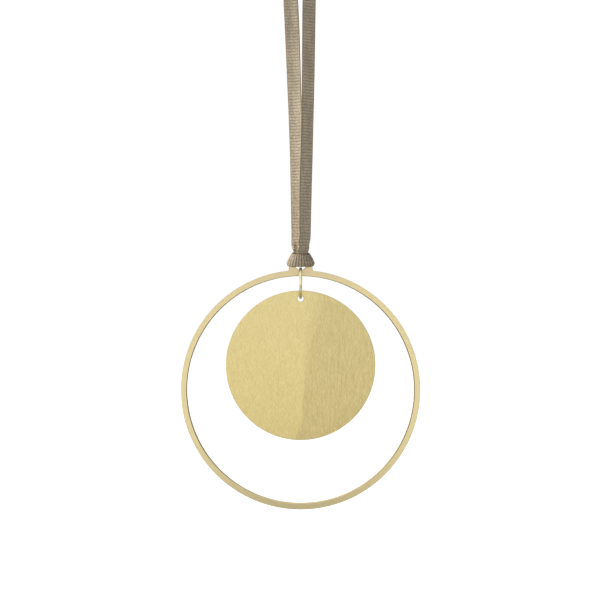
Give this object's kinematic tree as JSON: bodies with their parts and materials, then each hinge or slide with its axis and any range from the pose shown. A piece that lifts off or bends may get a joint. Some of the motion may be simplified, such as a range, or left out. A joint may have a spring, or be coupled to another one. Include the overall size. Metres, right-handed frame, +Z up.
{
  "type": "hanging ring ornament",
  "caption": "Flat brass ring with an eye, hung on a hitched grosgrain ribbon loop, with a flat brass disc swinging inside the ring on a round wire link.",
  "frame": {"origin": "where the ribbon's loop bears on its peg, at the inside of the top of the loop", "axes": "+Z up along the hanging ribbon, +X to the right along the faces of the ring and the disc, -Y out of their front, +Y towards the wall or branch that carries the peg"},
  "size_m": [0.08, 0.0108, 0.2049],
  "materials": {
    "brass_sheet": "pale satin brass, finely brushed up and down, edges lightly broken",
    "brass_wire": "pale drawn brass wire, softly polished",
    "ribbon": "taupe grosgrain with ribs across its width and a plain woven edge",
    "thread": "sewing thread matched to the ribbon"
  },
  "bodies": {
    "root": {"ribbon_loop": "ribbon", "lap_stitches": "thread", "ribbon_left_strand": "ribbon", "ribbon_right_strand": "ribbon"},
    "ring": {"outer_ring": "brass_sheet", "ribbon_hitch": "ribbon"},
    "link": {"link": "brass_wire"},
    "disc": {"inner_disc": "brass_sheet"}
  },
  "joints": [
    {"name": "ring_turn", "type": "hinge", "parent": "root", "child": "ring", "pos_m": [0, 0, -0.1158], "axis": [0, 0, 1], "range_deg": [-180, 180], "deforming": ["ribbon_left_strand", "ribbon_right_strand"]},
    {"name": "link_sway", "type": "hinge", "parent": "ring", "child": "link", "pos_m": [0, 0, -0.12339], "axis": [0, 1, 0], "range_deg": [-14, 14]},
    {"name": "disc_swing", "type": "hinge", "parent": "link", "child": "disc", "pos_m": [0, 0, -0.12829], "axis": [1, 0, 0], "range_deg": [-120, 120]}
  ]
}
